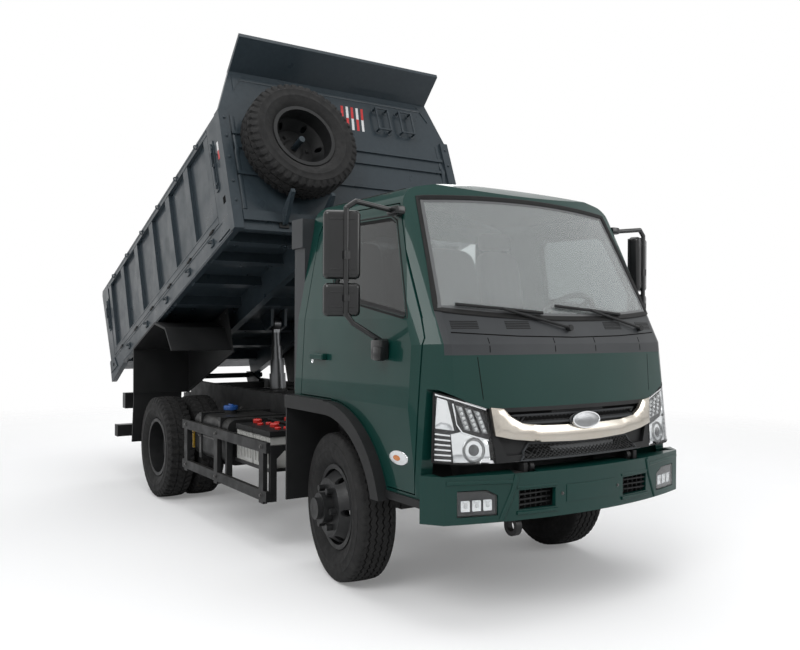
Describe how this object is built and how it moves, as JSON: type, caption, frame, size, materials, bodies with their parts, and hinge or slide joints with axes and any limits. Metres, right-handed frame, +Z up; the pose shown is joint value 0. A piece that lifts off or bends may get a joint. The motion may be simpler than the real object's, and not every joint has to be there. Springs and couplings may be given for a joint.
{
  "type": "light dump truck",
  "caption": "Light tipper truck with a forward-tilting cab, raised steel bed with drop sides and top-hung tailgate, twin rear wheels and a telescopic hoist.",
  "frame": {"origin": "middle of the length and width at the ground under the tyres", "axes": "+X forward, +Y to the vehicle's left, +Z up"},
  "size_m": [5.6016, 2.2816, 3.3638],
  "materials": {
    "cab_paint": "gloss dark green paint",
    "bed_paint": "semi-gloss dark grey paint",
    "chassis_paint": "satin black paint",
    "axle_paint": "satin black paint",
    "rim_paint": "satin dark grey paint",
    "tyre_rubber": "matt black rubber",
    "black_plastic": "matt grained plastic",
    "cowl_grey": "satin dark grey plastic",
    "glass": "clear tinted glass",
    "lamp_lens": "clear lens over bright reflector",
    "red_lens": "red lens",
    "bar_metal": "satin champagne metal",
    "engine_cast": "cast iron",
    "tank_steel": "satin black paint",
    "battery_case": "pale plastic case",
    "spring_steel": "dark painted spring steel",
    "guard_paint": "satin black paint",
    "seat_cloth": "grey cloth",
    "exhaust_steel": "bare steel",
    "hoist_steel": "ground steel",
    "mirror_plastic": "black plastic shell"
  },
  "bodies": {
    "chassis": {"chassis_frame": "chassis_paint", "tipper_subframe": "chassis_paint", "front_bumper": "cab_paint", "fog_lamps": "lamp_lens", "engine": "engine_cast", "front_axle": "axle_paint", "rear_axle": "axle_paint", "leaf_springs": "spring_steel", "fuel_tank": "tank_steel", "batteries": "battery_case", "side_guards": "guard_paint", "tail_lamps": "red_lens", "rear_bumper": "chassis_paint", "exhaust": "exhaust_steel"},
    "cab": {"cab_frame": "cab_paint", "cab_roof": "cab_paint", "cab_rear_wall": "cab_paint", "cab_floor": "chassis_paint", "cab_front_panel": "cab_paint", "cowl_panel": "cowl_grey", "cab_glass": "glass", "headlamps": "lamp_lens", "grille": "black_plastic", "grille_bar": "bar_metal", "wheel_arches": "black_plastic", "dashboard": "black_plastic", "seats": "seat_cloth", "wipers": "black_plastic", "intake_snorkel": "cowl_grey"},
    "door_left_body": {"door_left": "cab_paint", "door_glass_left": "glass", "mirror_left": "mirror_plastic"},
    "door_right_body": {"door_right": "cab_paint", "door_glass_right": "glass", "mirror_right": "mirror_plastic"},
    "steering_wheel_body": {"steering_wheel": "black_plastic"},
    "knuckle_left_body": {"knuckle_left": "axle_paint"},
    "knuckle_right_body": {"knuckle_right": "axle_paint"},
    "tie_rod_body": {"tie_rod": "axle_paint"},
    "wheel_front_left": {"front_rim_left": "rim_paint", "front_tyre_left": "tyre_rubber"},
    "wheel_front_right": {"front_rim_right": "rim_paint", "front_tyre_right": "tyre_rubber"},
    "wheel_rear_left": {"rear_rims_left": "rim_paint", "rear_tyres_left": "tyre_rubber"},
    "wheel_rear_right": {"rear_rims_right": "rim_paint", "rear_tyres_right": "tyre_rubber"},
    "bed": {"bed_floor": "bed_paint", "headboard": "bed_paint", "spare_tyre": "tyre_rubber", "spare_rim": "rim_paint", "rear_fenders": "black_plastic"},
    "gate_left": {"side_gate_left": "bed_paint"},
    "gate_right": {"side_gate_right": "bed_paint"},
    "tailgate_body": {"tailgate": "bed_paint"},
    "hoist_barrel_body": {"hoist_barrel": "chassis_paint"},
    "hoist_stage_1_body": {"hoist_stage_1": "hoist_steel"},
    "hoist_stage_2_body": {"hoist_stage_2": "hoist_steel"},
    "hoist_stage_3_body": {"hoist_stage_3": "hoist_steel"},
    "hoist_stage_4_body": {"hoist_stage_4": "hoist_steel"}
  },
  "joints": [
    {"name": "bed_tip", "type": "hinge", "parent": "chassis", "child": "bed", "pos_m": [-2.0412, 0, 0.891], "axis": [0, -1, 0], "range_deg": [-20.3, 24.7]},
    {"name": "tailgate_swing", "type": "hinge", "parent": "bed", "child": "tailgate_body", "pos_m": [-2.7821, 0, 1.72367], "axis": [0, 1, 0], "range_deg": [0, 60]},
    {"name": "gate_right_drop", "type": "hinge", "parent": "bed", "child": "gate_right", "pos_m": [-1.14803, -0.952, 1.52313], "axis": [0.9379, 0, 0.3469], "range_deg": [0, 150]},
    {"name": "gate_left_drop", "type": "hinge", "parent": "bed", "child": "gate_left", "pos_m": [-1.14803, 0.952, 1.52313], "axis": [-0.9379, 0, -0.3469], "range_deg": [0, 150]},
    {"name": "hoist_lean", "type": "hinge", "parent": "chassis", "child": "hoist_barrel_body", "pos_m": [-0.7412, 0, 0.641], "axis": [0, -1, 0], "range_deg": [-10.3, 12.5]},
    {"name": "hoist_slide_1", "type": "slide", "parent": "hoist_barrel_body", "child": "hoist_stage_1_body", "axis": [-0.102, 0, 0.9948], "range_m": [-0.113, 0.137]},
    {"name": "hoist_slide_2", "type": "slide", "parent": "hoist_stage_1_body", "child": "hoist_stage_2_body", "axis": [-0.102, 0, 0.9948], "range_m": [-0.113, 0.137]},
    {"name": "hoist_slide_3", "type": "slide", "parent": "hoist_stage_2_body", "child": "hoist_stage_3_body", "axis": [-0.102, 0, 0.9948], "range_m": [-0.113, 0.137]},
    {"name": "hoist_slide_4", "type": "slide", "parent": "hoist_stage_3_body", "child": "hoist_stage_4_body", "axis": [-0.102, 0, 0.9948], "range_m": [-0.113, 0.137]},
    {"name": "cab_tilt", "type": "hinge", "parent": "chassis", "child": "cab", "pos_m": [2.7158, 0, 0.722], "axis": [0, 1, 0], "range_deg": [0, 45]},
    {"name": "door_left_swing", "type": "hinge", "parent": "cab", "child": "door_left_body", "pos_m": [2.4998, 0.858, 1.2], "axis": [0, 0, -1], "range_deg": [0, 70]},
    {"name": "door_right_swing", "type": "hinge", "parent": "cab", "child": "door_right_body", "pos_m": [2.4998, -0.858, 1.2], "axis": [0, 0, 1], "range_deg": [0, 70]},
    {"name": "steer_left", "type": "hinge", "parent": "chassis", "child": "knuckle_left_body", "pos_m": [1.7358, 0.6, 0.402], "axis": [0, 0, 1], "range_deg": [-28.2, 41.8]},
    {"name": "steer_right", "type": "hinge", "parent": "chassis", "child": "knuckle_right_body", "pos_m": [1.7358, -0.6, 0.402], "axis": [0, 0, 1], "range_deg": [-28.4, 42]},
    {"name": "tie_rod_turn", "type": "hinge", "parent": "knuckle_left_body", "child": "tie_rod_body", "pos_m": [1.54714, 0.6225, 0.358], "axis": [0, 0, 1], "range_deg": [-42, 28.4]},
    {"name": "steering_wheel_turn", "type": "hinge", "parent": "cab", "child": "steering_wheel_body", "pos_m": [2.1658, 0.42, 1.4026], "axis": [-0.7752, 0, 0.6317], "range_deg": [-340.4, 503.6]},
    {"name": "wheel_front_left_spin", "type": "hinge", "parent": "knuckle_left_body", "child": "wheel_front_left", "pos_m": [1.75238, 0.73901, 0.402], "axis": [0.1184, 0.993, 0], "continuous": true},
    {"name": "wheel_front_right_spin", "type": "hinge", "parent": "knuckle_right_body", "child": "wheel_front_right", "pos_m": [1.71922, -0.73901, 0.402], "axis": [0.1184, 0.993, 0], "continuous": true},
    {"name": "wheel_rear_left_spin", "type": "hinge", "parent": "chassis", "child": "wheel_rear_left", "pos_m": [-0.9842, 0.753, 0.402], "axis": [0, 1, 0], "continuous": true},
    {"name": "wheel_rear_right_spin", "type": "hinge", "parent": "chassis", "child": "wheel_rear_right", "pos_m": [-0.9842, -0.753, 0.402], "axis": [0, 1, 0], "continuous": true}
  ],
  "couplings": [
    {"joint": "hoist_lean", "follows": "bed_tip", "ratio": 0.4989},
    {"joint": "hoist_slide_1", "follows": "bed_tip", "m_per_rad": 0.31305},
    {"joint": "hoist_slide_2", "follows": "bed_tip", "m_per_rad": 0.31305},
    {"joint": "hoist_slide_3", "follows": "bed_tip", "m_per_rad": 0.31305},
    {"joint": "hoist_slide_4", "follows": "bed_tip", "m_per_rad": 0.31305},
    {"joint": "steer_right", "follows": "steer_left", "ratio": 1},
    {"joint": "tie_rod_turn", "follows": "steer_left", "ratio": -1},
    {"joint": "steering_wheel_turn", "follows": "steer_left", "ratio": 12}
  ]
}
